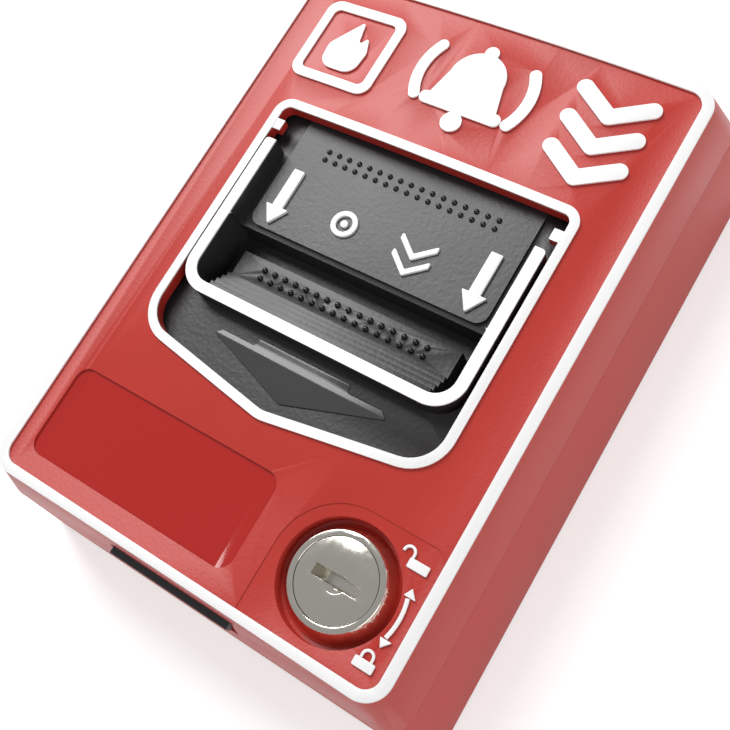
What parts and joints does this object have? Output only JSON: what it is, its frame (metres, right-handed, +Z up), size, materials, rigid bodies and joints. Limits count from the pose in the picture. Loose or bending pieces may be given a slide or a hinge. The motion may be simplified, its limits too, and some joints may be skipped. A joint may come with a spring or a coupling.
{
  "type": "manual call point",
  "caption": "Wall-mounted fire alarm pull station: push-in, pull-down handle in a key-locked, side-hinged door over a wiring shell.",
  "frame": {"origin": "centre of the back face on the wall, which is the centre of the mounting holes", "axes": "X to the right, Y into the wall, Z up; the front faces -Y"},
  "size_m": [0.1046, 0.0365, 0.1396],
  "materials": {
    "red_shell": "moulded red polycarbonate, fine texture",
    "black_handle": "moulded black polycarbonate, fine texture",
    "black_inner": "moulded black plastic",
    "nickel_lock": "nickel plated",
    "zinc_steel": "zinc plated steel",
    "spring_steel": "drawn spring steel",
    "brass_terminal": "bare brass",
    "green_block": "moulded green plastic",
    "lead_red": "soft insulation",
    "lead_black": "soft insulation"
  },
  "bodies": {
    "housing": {"back_shell": "red_shell", "hinge_pins": "zinc_steel", "lock_keeper": "zinc_steel", "keeper_screws": "zinc_steel"},
    "door": {"door_cover": "red_shell", "mechanism_frame": "black_inner", "frame_screws": "zinc_steel", "lock_barrel": "nickel_lock", "lock_washer": "zinc_steel", "lock_nut": "nickel_lock", "switch_body": "black_inner", "switch_blades": "brass_terminal", "switch_screws": "zinc_steel", "lever_pin": "zinc_steel", "terminal_block": "green_block", "terminal_clamps": "brass_terminal", "terminal_screws": "zinc_steel", "block_screws": "zinc_steel", "lead_common": "lead_black", "lead_open": "lead_red", "detent_spring": "spring_steel", "detent_screw": "zinc_steel"},
    "lock_plug_body": {"lock_plug": "nickel_lock", "lock_cam": "zinc_steel", "cam_screw": "zinc_steel"},
    "carriage": {"slide_carriage": "zinc_steel", "push_springs": "spring_steel"},
    "handle": {"pull_handle": "black_handle", "post_clips": "spring_steel"},
    "lever": {"switch_lever": "spring_steel"},
    "button": {"switch_button": "red_shell"}
  },
  "joints": [
    {"name": "door_hinge", "type": "hinge", "parent": "housing", "child": "door", "pos_m": [-0.0499, -0.02265, 0], "axis": [0, 0, -1], "range_deg": [0, 90]},
    {"name": "lock_turn", "type": "hinge", "parent": "door", "child": "lock_plug_body", "pos_m": [0.02925, -0.03, -0.0488], "axis": [0, 1, 0], "range_deg": [0, 90]},
    {"name": "handle_pull", "type": "slide", "parent": "door", "child": "carriage", "axis": [0, 0, -1], "range_m": [0, 0.008]},
    {"name": "handle_push", "type": "slide", "parent": "carriage", "child": "handle", "axis": [0, 1, 0], "range_m": [0, 0.0025], "stiffness_N_per_m": 1500, "springref_m": -0.0015, "deforming": ["push_springs"]},
    {"name": "switch_lever_turn", "type": "hinge", "parent": "door", "child": "lever", "pos_m": [0.0192, -0.00785, -0.0122], "axis": [0, -1, 0], "range_deg": [0, 4.05]},
    {"name": "switch_button_slide", "type": "slide", "parent": "door", "child": "button", "axis": [-1, 0, 0], "range_m": [0, 0.00071]}
  ],
  "couplings": [
    {"joint": "switch_lever_turn", "follows": "handle_pull", "rad_per_m": 8.7266},
    {"joint": "switch_button_slide", "follows": "handle_pull", "ratio": 0.0875}
  ]
}
